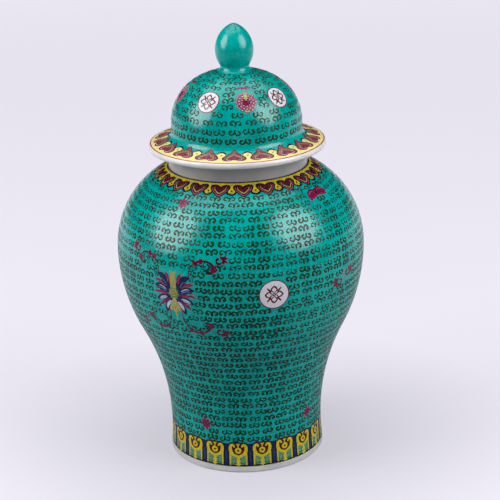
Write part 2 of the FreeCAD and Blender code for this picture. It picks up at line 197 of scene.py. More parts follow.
class Coat:
    """One colour of enamel on one surface."""

    def __init__(self, surface):
        self.surface = surface
        self.places = []
        self.faces = []

    def add(self, places, faces, flip=False):
        start = len(self.places)
        self.places += places
        self.faces += [tuple(start + i for i in (face[::-1] if flip else face)) for face in faces]

    def stroke(self, spot, points, widths, level=0, steps=3, shut=False):
        """A brush stroke through the points, with widths from start to end and a raised middle."""
        path = smooth_path(points, steps, shut)
        count = len(path)
        widths = (widths,) if isinstance(widths, (int, float)) else widths
        marks = np.linspace(0, count - 1, len(widths)) if len(widths) > 1 else [0]
        halves = [float(np.interp(i, marks, widths)) / 2 for i in range(count)]
        if not shut:
            path, halves = round_ends(path, halves)
            count = len(path)
        low, high = level * STEP - SINK, level * STEP + CREST
        places = []
        for i, (u, v) in enumerate(path):
            before = path[i - 1] if i or shut else path[0]
            after = path[(i + 1) % count] if i + 1 < count or shut else path[-1]
            du, dv = heading(before, after)
            nu, nv = -dv * halves[i], du * halves[i]
            for side, lift in ((1, low), (0, high), (-1, low)):
                places.append(spot.place(u + nu * side, v + nv * side, lift))
        faces = []
        for i in range(count if shut else count - 1):
            a, b = 3 * i, 3 * ((i + 1) % count)
            faces += [(a + 2, b + 2, b + 1, a + 1), (a + 1, b + 1, b, a)]
        self.add(places, faces, spot.hand < 0)

    def patch(self, spot, outline, level=0, rings=SHAPE_RINGS):
        """A filled shape, its outline given anticlockwise, in rings that are shares of its size."""
        low, high = level * STEP - SINK, level * STEP + CREST
        count = len(outline)
        mu, mv = (sum(p[k] for p in outline) / count for k in (0, 1))
        places = [spot.place(mu, mv, high)]
        for ring in rings:
            lift = low if ring == rings[-1] else high
            places += [spot.place(mu + (u - mu) * ring, mv + (v - mv) * ring, lift) for u, v in outline]
        faces = [(0, 1 + i, 1 + (i + 1) % count) for i in range(count)]
        for ring in range(len(rings) - 1):
            a, b = 1 + ring * count, 1 + (ring + 1) * count
            for i in range(count):
                j = (i + 1) % count
                faces.append((a + i, b + i, b + j, a + j))
        self.add(places, faces, spot.hand < 0)

    def ground(self, top, bottom, columns, rows, level=0):
        """A coat all round between two edges, each a function of the angle that gives the run."""
        low, high = level * STEP - SINK, level * STEP + CREST / 2
        places = []
        faces = []
        for k in range(columns):
            angle = TURN * k / columns
            start, end = top(angle), bottom(angle)
            places.append((angle, 0.0, start, low))
            places += [(angle, 0.0, run, high) for run in np.linspace(start + EDGE, end - EDGE, rows - 1)]
            places.append((angle, 0.0, end, low))
        for k in range(columns):
            a, b = k * (rows + 1), (k + 1) % columns * (rows + 1)
            faces += [(a + i + 1, b + i + 1, b + i, a + i) for i in range(rows)]
        self.add(places, faces)

    def made(self, name, body, slot, material):
        """The coat as an object that rides on its body."""
        mesh = bpy.data.meshes.new(name)
        mesh.from_pydata(self.surface.positions(self.places).tolist(), [], self.faces)
        mesh.shade_smooth()
        mesh.materials.append(material)
        piece = placed(name, mesh)
        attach(piece, body)


def smooth_path(points, steps, shut=False):
    """A Catmull-Rom curve through the points, with so many steps from one to the next."""
    count = len(points)
    if count < 3 and not shut:
        steps = max(1, steps - 1)
    path = []
    for i in range(count if shut else count - 1):
        near = [(i + k) % count if shut else min(max(i + k, 0), count - 1) for k in (-1, 0, 1, 2)]
        for step in range(steps):
            path.append(tuple(catmull(*(points[j][k] for j in near), step / steps) for k in (0, 1)))
    if not shut:
        path.append(tuple(points[-1]))
    return path


def catmull(a, b, c, d, t):
    return b + 0.5 * t * (c - a + t * (2 * a - 5 * b + 4 * c - d + t * (3 * (b - c) + d - a)))


def round_ends(path, halves):
    """The path with a short narrow piece added at each end, which rounds the brush mark."""
    reach, narrow = 0.7, 0.45
    ends = []
    for tip, inner, half in ((path[0], path[1], halves[0]), (path[-1], path[-2], halves[-1])):
        du, dv = heading(inner, tip)
        ends.append((tip[0] + du * half * reach, tip[1] + dv * half * reach))
    return [ends[0]] + path + [ends[1]], [halves[0] * narrow] + halves + [halves[-1] * narrow]


def circle(radius, count=24, u=0.0, v=0.0):
    angles = [2 * math.pi * k / count for k in range(count)]
    return [(u + radius * math.cos(a), v + radius * math.sin(a)) for a in angles]


def mirrored(points):
    """A shape from its right half, given from the bottom up, with both ends on the middle line."""
    return list(points) + [(-u, v) for u, v in reversed(points[1:-1])]


def at_run(run):
    """An edge all round at one run."""
    return lambda angle: run


def scalloped(count, first, side_run, arc_run):
    """An edge all round at side_run beside each of the motifs, and out to arc_run between them."""

    def edge(angle):
        between = math.cos(math.radians((angle - first) * count))
        return side_run + (arc_run - side_run) * max(0.0, -between) ** SCALLOP

    return edge


# ---------------- materials

RANGE_SOCKETS = ("From Min", "From Max", "To Min", "To Max")
GLAZE_GLOSS = 0.5
NOISE_SPREAD = (0.3, 0.7)  # where nearly all of a noise's own values lie
DEEP = (0.0, 0.255, 0.235)
BODY = (0.001, 0.345, 0.312)
PALE = (0.015, 0.44, 0.395)
THICK_WHITE = (0.62, 0.615, 0.625)
THIN_WHITE = (0.70, 0.69, 0.675)
BARE_DARK = (0.50, 0.40, 0.28)
BARE_LIGHT = (0.62, 0.54, 0.42)
LAND = (0.9 * MM, 1.3 * MM)  # height over which the foot's bare land gives way to glaze
UPWARD_COUNTS = 0.012  # radius in metres at which facing up weighs as much as facing outwards
GLAZE_ROUGHNESS = (0.18, 0.26)
NECK_PAINTED_SHADE = 0.50  # painted shade: the neck's white glaze is darkened, as the brim above shades it
# painted shade: the white glaze on the foot and base is darkened a little
FOOT_PAINTED_SHADE = 0.85


def remap(tree, source, low, high, out_low, out_high, shape="LINEAR"):
    """A node that goes from out_low to out_high while its input goes from low to high."""
    node = tree.nodes.new("ShaderNodeMapRange")
    node.interpolation_type = shape
    for socket, value in zip(RANGE_SOCKETS, (low, high, out_low, out_high)):
        node.inputs[socket].default_value = value
    tree.links.new(source, node.inputs["Value"])
    return node.outputs["Result"]


class Shader:
    """A Principled material that is put together one node at a time."""

    def __init__(self, name, roughness, gloss=GLAZE_GLOSS):
        self.material = bpy.data.materials.new(name)
        self.material.use_nodes = True
        self.tree = self.material.node_tree
        self.bsdf = self.tree.nodes["Principled BSDF"]
        self.bsdf.inputs["Roughness"].default_value = roughness
        self.bsdf.inputs["Specular IOR Level"].default_value = gloss
        self.coords = self.tree.nodes.new("ShaderNodeTexCoord")
        self.place = self.coords.outputs["Object"]

    def link(self, source, target):
        self.tree.links.new(source, target)

    def split(self, vector):
        """The X, Y and Z outputs of a vector."""
        node = self.tree.nodes.new("ShaderNodeSeparateXYZ")
        self.link(vector, node.inputs[0])
        return node.outputs

    def noise(self, grain, detail=3.0):
        """Noise with features about so many mm across, as a number from 0 to 1."""
        node = self.tree.nodes.new("ShaderNodeTexNoise")
        node.inputs["Scale"].default_value = 1 / (grain * MM)
        node.inputs["Detail"].default_value = detail
        self.link(self.place, node.inputs["Vector"])
        return self.ranged(node.outputs["Fac"], *NOISE_SPREAD)

    def ranged(self, source, low, high, out_low=0.0, out_high=1.0):
        return remap(self.tree, source, low, high, out_low, out_high, "SMOOTHSTEP")

    def feed(self, socket, value):
        """A number, a colour or another node's output goes into a socket."""
        if isinstance(value, bpy.types.NodeSocket):
            self.link(value, socket)
        else:
            socket.default_value = (*value, 1.0) if isinstance(value, tuple) else value

    def mixed(self, factor, first, second):
        node = self.tree.nodes.new("ShaderNodeMix")
        node.data_type = "RGBA"
        for socket, value in (("Factor", factor), ("A", first), ("B", second)):
            self.feed(node.inputs[socket], value)
        return node.outputs["Result"]

    def maths(self, how, result, *others):
        """The sum, product and so on of two or more values."""
        for value in others:
            node = self.tree.nodes.new("ShaderNodeMath")
            node.operation = how
            self.feed(node.inputs[0], result)
            self.feed(node.inputs[1], value)
            result = node.outputs[0]
        return result

    def bump(self, height, depth):
        """Unevenness of the surface, so many mm deep."""
        node = self.tree.nodes.new("ShaderNodeBump")
        node.inputs["Strength"].default_value = 1.0
        node.inputs["Distance"].default_value = depth * MM
        self.link(height, node.inputs["Height"])
        self.link(node.outputs["Normal"], self.bsdf.inputs["Normal"])

    def finish(self, colour, rough):
        self.link(colour, self.bsdf.inputs["Base Color"])
        self.link(rough, self.bsdf.inputs["Roughness"])
        return self.material


def turquoise(shader):
    """The turquoise ground: clouded, and paler in small patches where it is thin."""
    clouds = shader.mixed(shader.noise(grain=26, detail=2.0), DEEP, BODY)
    thin = shader.ranged(shader.noise(grain=1.6, detail=4.0), 0.45, 1.0, out_high=0.55)
    return shader.mixed(thin, clouds, PALE)


def white(shader, painted_shade=1.0):
    """White glaze over the porcelain, faintly grey-blue where it lies thick, and darkened by the shade factor
    as painted shade where that is below 1.
    """
    thick, thin = (tuple(c * painted_shade for c in tone) for tone in (THICK_WHITE, THIN_WHITE))
    return shader.mixed(shader.noise(grain=18), thick, thin)


def glazed(name, outside_from=None, outside_to=None, painted_shade=1.0):
    """Porcelain that is turquoise outside between two heights in mm, and white elsewhere."""
    shader = Shader(name, 0.2)
    colour = white(shader, painted_shade)
    if outside_from is not None:
        place = shader.split(shader.place)
        normal = shader.split(shader.coords.outputs["Normal"])
        across = [shader.maths("MULTIPLY", place[axis], normal[axis]) for axis in "XY"]
        upward = shader.maths("MULTIPLY", normal["Z"], UPWARD_COUNTS)
        outside = shader.maths("GREATER_THAN", shader.maths("ADD", *across, upward), 0.0)
        above = shader.maths("GREATER_THAN", place["Z"], outside_from * MM)
        below = shader.maths("LESS_THAN", place["Z"], outside_to * MM)
        mask = shader.maths("MULTIPLY", outside, above, below)
        colour = shader.mixed(mask, colour, turquoise(shader))
    shader.bump(shader.noise(grain=7, detail=2.0), depth=0.05)
    return shader.finish(colour, shader.ranged(shader.noise(grain=4), 0.0, 1.0, *GLAZE_ROUGHNESS))


def enamel(name, thin, thick, roughness, gloss):
    """Overglaze enamel: its colour is stronger where the brush left more of it."""
    shader = Shader(name, roughness, gloss)
    colour = shader.mixed(shader.noise(grain=1.2), thin, thick)
    shader.bump(shader.noise(grain=0.6), depth=0.02)
    uneven = shader.ranged(shader.noise(grain=2.5, detail=2.0), 0.0, 1.0, roughness - 0.06, roughness + 0.08)
    return shader.finish(colour, uneven)


# ---------------- ornament of the jar

HEARTS = 22
HEART_FROM = 3.1
PANELS = 20
PANEL_FROM = 10.8
LOTUSES = (-32.0, 148.0)
ROUNDELS = (14.0, 96.0, 194.0, 271.0)
PAIRS = (53.0, 233.0)
MIDDLE = 107.5  # run of the lotuses and roundels
BAND_LOW = 6.9  # height of the lower edge of the band round the foot
BAND_TALL = 23.0
ROUNDEL = 13.3
ROW = 6.95  # from one row of curls to the next
CURL = 12.5  # from one curl to the next along a row
CURL_CLOSE = 11.2  # the least of that
CURL_WIDE = 9.8
CURL_TALL = 4.8
CURL_MIDDLE = 2.6  # from the top of a curl to its middle
CURL_REACH = CURL_WIDE * 0.46  # from the middle of a curl to its side, its soft end left out
SPAN_STEPS = 720
SLIP = 0.7  # how far a curl may stray sideways
DRIFT = 0.25  # and up or down
WANDER = 0.4  # how far a whole row strays, in three waves round the jar
BLOSSOM_RUN = 254.8  # run of the blossoms above the foot
BAT_RUN = 27.5
HIGH_BLOSSOM_RUN = 27.4
NECK_LINE = (-0.3, 1.6)  # runs where the maroon line at the neck starts and ends
BAND_LINE = (-0.4, 0.7)  # the dark line under the foot band, from and to, about the band's low edge
BLOSSOM_SHARES = (0.2, 0.3, 0.6, 0.8, 1.0)  # places along a blossom's petal: strokes start and end there


def curl(dark, core, spot):
    """One painted curl: two arches with rolled-in ends and a stem between them."""
    arch = [(-3.0, -3.6), (-3.9, -3.8), (-4.6, -2.7), (-3.9, -1.1), (-2.0, -0.6), (-0.2, -2.4)]
    stem = [(0.0, -1.8), (0.15, -3.2), (-0.1, -4.5)]
    for side in (-1, 1):
        line = [(u * side, v) for u, v in arch]
        dark.stroke(spot, line, (2.3, 1.9, 1.9, 1.85, 1.6), 0, 2)
        core.stroke(spot, line, (0.75, 0.65, 0.7, 0.6, 0.4), 1, 1)
    dark.stroke(spot, stem, (1.5, 1.9, 2.3), 0, 1)
    core.stroke(spot, stem[1:], (0.6, 0.75), 1, 1)


class Field:
    """The ground that curls fill, less the places that other motifs keep."""

    def __init__(self, surface):
        self.surface = surface
        self.kept = []

    def keep(self, spot, points, radius):
        for u, v in points:
            angle, side, run, _ = spot.place(u, v, 0)
            self.kept.append((angle + math.degrees(side / self.surface.radius(run)), run, radius))

    def is_free(self, angle, run):
        for kept_angle, kept_run, radius in self.kept:
            drop = max(0.0, abs(run - kept_run) - CURL_TALL / 2)
            if drop < radius:
                turn = (angle - kept_angle + TURN / 2) % TURN - TURN / 2
                side = math.radians(abs(turn)) * self.surface.radius((run + kept_run) / 2)
                if math.hypot(max(0.0, side - CURL_REACH), drop) < radius:
                    return False
        return True

    def spans(self, run):
        """The stretches of a row, from one angle to another, where the middle of a curl may be."""
        free = [self.is_free(TURN * k / SPAN_STEPS, run) for k in range(SPAN_STEPS)]
        if all(free):
            return [(0.0, TURN)]
        first = free.index(False)
        found = []
        for is_open, group in groupby(range(first, first + SPAN_STEPS), lambda k: free[k % SPAN_STEPS]):
            if is_open:
                steps = list(group)
                found.append((TURN * steps[0] / SPAN_STEPS, TURN * steps[-1] / SPAN_STEPS))
        return found


def curl_rows(dark, core, field, rows, rng, sway=4.0):
    """Rows of curls, each given as (run, whether it is upside down), fitted between the motifs."""
    for run, flipped in rows:
        wave = rng.uniform(0, TURN)
        for start, end in field.spans(run):
            reach = math.radians(end - start) * field.surface.radius(run)
            gaps = min(round(reach / CURL), int(reach / CURL_CLOSE))
            if end - start < TURN:
                shares = [k / gaps for k in range(gaps + 1)] if gaps else [0.5]
            else:
                start, end = wave, wave + TURN
                shares = [k / gaps for k in range(gaps)]
            for share in shares:
                slip = math.degrees(rng.uniform(-SLIP, SLIP) / field.surface.radius(run))
                angle = start + (end - start) * share + slip
                drift = WANDER * math.sin(math.radians(3 * angle + wave)) + rng.uniform(-DRIFT, DRIFT)
                turn = rng.gauss(0, sway)
                size = rng.uniform(0.94, 1.05)
                lift = -CURL_MIDDLE if flipped else CURL_MIDDLE
                curl(dark, core, Spot(angle, run + drift - lift, turn + (180 if flipped else 0), size))


def heart_band(coats):
    """The yellow band below the neck, with maroon hearts and small dark arcs between them."""
    pitch = TURN / HEARTS
    side_run, arc_run, centre = 10.0, 15.2, 10.5
    top, line = (at_run(run) for run in NECK_LINE)
    coats["yellow"].ground(top, scalloped(HEARTS, HEART_FROM, side_run, arc_run), HEARTS * 16, 7)
    coats["maroon"].ground(top, line, LINE_COLUMNS, 3, 1)
    half = [(0, -7.6), (3.0, -5.3), (5.9, -2.1), (8.0, 1.1), (8.4, 4.1), (6.8, 6.2), (4.3, 6.5), (1.9, 5.6),
            (0, 4.2)]
    rim = [(-6.6, 3.4), (-6.6, 0.9), (-4.3, -2.3), (0, -6.1), (4.3, -2.3), (6.6, 0.9), (6.6, 3.4)]
    vee = [(-5.0, 3.6), (-4.6, 0.9), (-2.7, -1.3), (0, -3.6), (2.7, -1.3), (4.6, 0.9), (5.0, 3.6)]
    swag = [(-4.4, -0.2), (-3.1, -3.5), (0, -5.1), (3.1, -3.5), (4.4, -0.2)]
    for k in range(HEARTS):
        spot = Spot(HEART_FROM + k * pitch, centre)
        outline = smooth_path(mirrored(half), 2, True)
        coats["maroon"].patch(spot, outline, 1)
        coats["black"].stroke(spot, outline, 0.9, 2, 1, True)
        coats["mauve"].stroke(spot, rim, (0.4, 0.7, 0.7, 0.7, 0.4), 2)
        coats["plume"].stroke(spot, vee, (0.5, 1.0, 1.2, 1.0, 0.5), 2)
        for side in (-1, 1):
            loop = [(0.4 * side, 0.2), (2.3 * side, 0.9), (3.2 * side, 2.9), (1.9 * side, 3.8)]
            coats["magenta"].stroke(spot, loop, (0.5, 0.8, 0.5), 2)
        gap = Spot(HEART_FROM + (k + 0.5) * pitch, centre)
        coats["black"].stroke(gap, swag, (1.2, 2.0, 2.2, 2.0, 1.2), 1)
        coats["navy"].stroke(gap, swag[1:-1], (0.5, 0.9, 0.5), 2)
        coats["black"].patch(gap, circle(1.05, 10, 0, -0.6), 1)
        coats["maroon"].stroke(gap, [(-1.9, -2.0), (0, -3.0), (1.9, -2.0)], 0.35, 1)


def foot_band(coats):
    """Lappet panels round the foot, with navy bars between them."""
    pitch = TURN / PANELS
    foot = JAR.run_at(BAND_LOW)
    coats["navy"].ground(at_run(foot - BAND_TALL + 1.2), at_run(foot + 0.3), PANELS * 12, 8)
    over, under = (at_run(foot + run) for run in BAND_LINE)
    coats["black"].ground(over, under, LINE_COLUMNS, 3, 4)
    frame_half = [(0, 0.2), (4.5, 0.2), (8.6, 0.2), (8.8, 3), (8.8, 9), (8.8, 16), (8.6, 20.2), (7.4, 22.4),
                  (5.0, 23.0), (2.2, 22.6), (0, 23.2)]
    leaf_half = [(0, 0.9), (3.5, 0.9), (7.0, 0.9), (7.0, 5.0), (6.9, 11.0), (3.8, 9.4), (0, 7.6)]
    scroll = [(3.5, 18.5), (4.6, 20.2), (6.5, 19.8), (7.2, 17.4), (6.8, 13.8), (4.4, 10.6), (0, 8.8)]
    side_bar = [(7.5, 0.9), (7.6, 6.0), (7.4, 13.0)]
    flecks = ((1.9, 5.9, 20), (3.5, 6.7, -25), (5.3, 8.2, 30), (3.2, 4.2, 70), (5.2, 5.6, -10),
              (4.4, 2.2, 15), (6.0, 3.4, 80), (2.9, 1.9, -40), (6.1, 1.6, 0))
    for k in range(PANELS):
        spot = Spot(PANEL_FROM + k * pitch, foot)
        coats["maroon"].patch(spot, mirrored(frame_half), 1, (0.25, 0.5, 0.75, 0.94, 1.0))
        coats["black"].stroke(spot, mirrored(frame_half), 0.7, 2, 1, True)
        coats["teal"].patch(spot, mirrored(leaf_half), 2, (0.3, 0.6, 0.94, 1.0))
        for side in (1, -1):
            hand = Spot(spot.angle, spot.run, mirror=side < 0)
            coats["yellow"].stroke(hand, side_bar, (1.2, 1.3, 1.6), 3, 3)
            coats["yellow"].stroke(hand, scroll, (1.5, 2.1, 2.5, 2.9, 3.1, 2.6, 2.0), 3)
            for u, v, turn in flecks:
                fleck = hand.near(JAR, u, v, turn * side, 1.0, side < 0)
                coats["dark_teal"].stroke(fleck, [(-1.0, -0.5), (0, 0.5), (1.0, 0.1)], (0.5, 0.9, 0.4), 3, 2)
            coats["yellow"].stroke(hand, [(0.3, 20.2), (1.5, 21.4)], (0.9, 0.6), 3)
            bar = Spot(spot.angle + pitch / 2, foot)
            coats["steel"].stroke(bar, [(0.4 * side, 2.5), (0.5 * side, 15)], (0.5, 1.3, 0.5), 1, 8)
        coats["yellow"].stroke(spot, [(0, 1.0), (0, 2.7), (0, 4.7), (0, 7.8)], (4.4, 1.5, 3.6, 1.8), 4)
        coats["yellow"].stroke(spot, [(0, 16.8), (0, 19.0), (0, 21.6)], (1.2, 1.3, 0.9), 2)
        coats["yellow"].patch(spot, circle(3.1, 16, 0, 14.7), 2, (0.5, 0.85, 1.0))
        coats["black"].patch(spot, circle(1.2, 10, 0, 14.7), 3, DOT_RINGS)


PETAL_BOW = ((0.33, 0.8), (0.68, 1.0))  # how far along and how far out, as shares


def petal(coat, spot, base, tip, width, bend, level):
    """A pointed petal from its base to its tip, bowed sideways by bend."""
    du, dv = tip[0] - base[0], tip[1] - base[1]
    across, back = heading(base, tip)
    nu, nv = -back * bend, across * bend
    middle = [(base[0] + du * on + nu * out, base[1] + dv * on + nv * out) for on, out in PETAL_BOW]
    coat.stroke(spot, [base, *middle, tip], (width * 0.5, width * 0.95, width, width * 0.75, 0.15), level, 4)


def spray(coats, spot):
    """A small four-leaved spray with a dark curl beside it."""
    for u, v in ((2.5, 3.5), (-1.8, 3.4), (2.8, -3.3), (-1.4, -3.8)):
        coats["wine"].stroke(spot, [(0, 0), (u * 0.55, v * 0.45), (u, v)], (1.2, 2.7, 0.6), 0)
    coats["wine"].stroke(spot, [(-0.8, 0.2), (3.8, 0.5)], (2.0, 0.9), 1)
    coats["maroon"].stroke(spot, [(0, -2.4), (0.1, 2.4)], 0.8, 1)
    coats["maroon"].stroke(spot, [(0.2, 0.1), (2.9, 0.4)], 0.5, 2)
    hook = [(-1.4, -1.0), (-3.4, -2.2), (-5.3, -0.9), (-5.2, 1.2), (-3.8, 1.5)]
    coats["maroon"].stroke(spot, hook, (1.0, 1.7, 1.5, 2.2), 0)


def along(line, start, end):
    """Part of a path, between two shares of its length."""
    count = len(line) - 1
    return line[round(start * count) : round(end * count) + 1]


def leafing(coat, spot, line, at, level):
    """Pointed leaves that spread from one place on a stem."""
    index = min(int(at * (len(line) - 1)), len(line) - 2)
    u, v = line[index]
    du, dv = heading(line[index], line[index + 1])
    for lean, reach in ((-1.2, 2.8), (-0.6, 3.6), (0.1, 3.4), (0.7, 3.6), (1.3, 2.6)):
        cos, sin = math.cos(lean), math.sin(lean)
        end = (u + (du * cos - dv * sin) * reach, v + (dv * cos + du * sin) * reach)
        coat.stroke(spot, [(u, v), ((u + end[0]) / 2, (v + end[1]) / 2), end], (1.2, 2.1, 0.5), level, 2)


HOOK_REACHES = (4.6, 2.6, 6.0, 3.4, 5.2)  # how far the fine curls in a tendril's bend go, in turns


def tendril(coats, spot, points, leafy):
    """A thin stem with leafy stretches, and fine curls inside its bend."""
    coats["maroon"].stroke(spot, points, (1.1, 1.7, 2.0, 1.9, 2.1), 0, 5)
    line = smooth_path(points, 5)
    middle = (sum(u for u, _ in line) / len(line), sum(v for _, v in line) / len(line))
    for start, end in leafy:
        coats["wine"].stroke(spot, along(line, start, end), (1.1, 2.6, 2.4, 1.1), 1, 1)
        leafing(coats["wine"], spot, line, start + 0.02, 1)
        leafing(coats["wine"], spot, line[::-1], 1 - end + 0.04, 1)
    for k in range(2, len(line) - 2, 2):
        u, v = line[k]
        reach = HOOK_REACHES[k % len(HOOK_REACHES)]
        du, dv = (part * reach for part in heading(line[k], middle))
        hook = [(u, v), (u + du * 0.5 + dv * 0.3, v + dv * 0.5 - du * 0.3), (u + du, v + dv)]
        hook.append((u + du * 0.75 - dv * 0.35, v + dv * 0.75 + du * 0.35))
        coats["grey"].stroke(spot, hook, (0.8, 1.2, 1.2), 0, 2)


LOTUS_SIZE = 1.08
LOTUS_PETALS = (
    ("magenta", (4.2, 4.0), (7.6, 17.0), 4.8, 0.9, 0),
    ("magenta", (4.6, 3.0), (18.8, 8.8), 4.2, 1.2, 0),
    ("magenta", (4.8, -2.4), (20.6, -2.6), 4.0, 0.8, 0),
    ("magenta", (3.6, -5.6), (15.0, -14.0), 4.2, 0.8, 0),
    ("magenta", (4.8, 0.8), (19.6, 1.0), 2.6, 0.6, 0),
    ("magenta", (2.6, -6.6), (5.6, -19.4), 2.6, 0.6, 0),
    ("wine", (6.0, 5.4), (9.8, 15.8), 1.6, 0.8, 0),
    ("navy", (4.2, 3.6), (15.2, 14.8), 6.4, 1.9, 1),
    ("navy", (4.6, 0.2), (19.0, 3.6), 5.8, 1.2, 1),
    ("navy", (4.0, -4.0), (17.6, -8.8), 5.2, 0.8, 1),
    ("navy", (2.2, -6.0), (8.9, -19.2), 5.6, 1.2, 1),
    ("pale_blue", (6.8, -5.0), (15.0, -8.2), 2.3, 0.7, 2),
    ("pale_blue", (3.6, -8.0), (7.8, -15.8), 2.9, 0.9, 2),
    ("pale_blue", (7.2, 1.9), (14.8, 3.9), 0.9, 1.0, 2),
    ("blue", (7.0, 0.3), (15.2, 2.3), 1.0, 0.8, 2),
    ("blue", (6.4, 5.2), (11.8, 10.7), 0.6, 1.0, 2),
    ("white", (8.4, -6.3), (13.6, -8.3), 0.7, 0.3, 3),
    ("white", (4.9, -9.8), (7.4, -14.2), 0.8, 0.3, 3),
    ("mauve", (5.4, 7.4), (6.8, 14.0), 0.5, 0.7, 1),
    ("mauve", (8.0, 4.4), (15.6, 7.8), 0.5, 0.9, 1),
    ("mauve", (7.6, -3.0), (17.6, -2.8), 0.5, 0.6, 1),
    ("black", (5.0, -4.9), (16.0, -9.6), 0.5, 0.9, 3),
    ("black", (5.2, 2.4), (17.0, 5.0), 0.5, 1.6, 3),
    ("black", (4.8, 5.6), (13.0, 13.0), 0.5, 2.0, 3),
)
# Each tendril: its stem, and the stretches of the stem that bear leaves, as shares of its length.
TENDRILS = (
    (((16.5, 12.4), (15.3, 16.5), (15.8, 22.0), (19.6, 28.2), (26.0, 31.0), (33.0, 30.6), (37.8, 26.8),
      (37.2, 21.8), (33.0, 20.6), (31.6, 23.2)), ((0.33, 0.49), (0.65, 0.78))),
    (((6.0, -20.0), (6.4, -26.0), (9.4, -33.0), (15.0, -37.6), (22.5, -37.8), (29.0, -33.8), (31.0, -28.6),
      (27.6, -26.4)), ((0.34, 0.60), (0.76, 0.90))),
)


def lotus(coats, field, angle):
    """The large lotus with its plume, boss and pendant, four tendrils and four sprays."""
    spot = Spot(angle, MIDDLE)
    for side in (1, -1):
        hand = Spot(angle, MIDDLE, mirror=side < 0)
        large = Spot(angle, MIDDLE, 0, LOTUS_SIZE, side < 0)
        for colour, base, tip, width, bend, order in LOTUS_PETALS:
            petal(coats[colour], large, base, tip, width, bend, order)
            field.keep(large, np.linspace(base, tip, 5), 1.2)
        for stem, leafy in TENDRILS:
            tendril(coats, hand, stem, leafy)
            field.keep(hand, smooth_path(stem, 2), 0.9)
        field.keep(hand, [(21, 26), (26, 26.5), (31, 26), (14, -31), (19, -33), (25, -32)], 2.6)
        spray(coats, hand.near(JAR, 46, 33, 15 * side, 1.2, side < 0))
        spray(coats, hand.near(JAR, 42, -37, -15 * side, 1.2, side < 0))
        field.keep(hand, [(47, 33), (43, -37)], 3.2)
        field.keep(hand, [(40, 33), (36.5, -37)], 1.0)
        coats["maroon"].stroke(hand, [(16.8, 12.6), (18.8, 12.0), (19.4, 13.4)], (0.8, 1.0, 1.1), 0)
    for u in (-1.9, -0.7, 0.7, 1.9):
        plume = [(u * 0.55, 3.0), (u * 1.15, 10.0), (u * 0.95, 16.0), (u * 1.6, 19.8)]
        coats["plume"].stroke(spot, plume, (1.7, 2.0, 1.5, 0.6), 2, 4)
        coats["olive"].stroke(spot, [(u * 0.7, 5.0), (u * 1.2, 11.0), (u * 1.3, 17.0)], 0.35, 3, 3)
    pendant = [(0, -18.6), (3.4, -17.4), (6.4, -17.0), (3.6, -10.4), (1.3, -5.0), (-1.3, -5.0), (-3.6, -10.4),
               (-6.4, -17.0), (-3.4, -17.4)]
    coats["plume"].patch(spot, smooth_path(pendant, 2, True), 2)
    coats["plume"].stroke(spot, [(0, -17.0), (0.3, -22.0), (0, -26.4)], (2.6, 1.6, 0.6), 1)
    coats["olive"].patch(spot, circle(4.7, 20), 3, (0.3, 0.6, 0.85, 1.0))
    for k in range(9):
        turn = math.radians(k * 40)
        dot = circle(0.75, 8, 2.9 * math.sin(turn), 2.9 * math.cos(turn))
        coats["plume"].patch(spot, dot, 4, DOT_RINGS)
    coats["plume"].patch(spot, circle(1.0, 8), 4, DOT_RINGS)
    for u, v in ((0, -9), (-1.2, -12), (1.2, -12), (-2.4, -15), (0, -15), (2.4, -15)):
        coats["olive"].patch(spot, circle(0.5, 7, u, v), 3, DOT_RINGS)
    field.keep(spot, [(0, 4), (0, 8), (0, 12), (0, 16), (0, 19)], 2.4)
    field.keep(spot, [(0, 0), (0, -8), (0, -12), (0, -16)], 4.4)
    field.keep(spot, [(0, -21), (0, -25)], 0.9)


def fret(coat, spot, size, level):
    """A generic knot: four leaves about a lozenge, with bars between them."""
    for k in range(4):
        turned = Spot(spot.angle, spot.run, k * 90, size)
        leaf = [(0.5, 1.6), (1.9, 3.4), (0, 5.7), (-1.9, 3.4), (-0.5, 1.6)]
        coat.stroke(turned, leaf, (1.0, 1.45, 1.0), level)
        coat.stroke(turned, [(2.5, 2.5), (4.4, 4.4)], (1.9, 1.2), level)
        coat.stroke(turned, [(-1.0, 0), (0, 1.0)], 0.9, level, 2)


def roundel(coats, field, angle, run, radius, ink, size):
    """A white disc with a thin ring and a knot."""
    spot = Spot(angle, run)
    coats["white"].patch(spot, circle(radius, 48), 0, (0.2, 0.4, 0.6, 0.8, 0.96, 1.0))
    coats[ink].stroke(spot, circle(radius - 0.3, 32), 1.1, 1, 2, True)
    fret(coats["ink"], spot, size, 1)
    field.keep(spot, [(0, 0)], radius + 0.5)


def blossom(coats, field, angle, run, size=1.0):
    """A small magenta flower, lozenge-shaped."""
    spot = Spot(angle, run, 8, size)
    coats["magenta"].patch(spot, circle(3.9, 16), 0, DOT_RINGS)
    for k in range(8):
        long = 6.1 if k % 2 == 0 else 5.0
        turn = math.radians(k * 45)
        inner, vein, middle, outer, tip = (
            (reach * math.sin(turn), reach * math.cos(turn)) for reach in np.array(BLOSSOM_SHARES) * long
        )
        coats["magenta"].stroke(spot, [inner, middle, tip], (2.4, 3.6, 2.0), 0)
        coats["maroon"].stroke(spot, [vein, outer], (0.7, 0.4), 1)
    coats["maroon"].patch(spot, circle(0.9, 8), 2, DOT_RINGS)
    field.keep(spot, [(0, 0)], 4.7 * size)


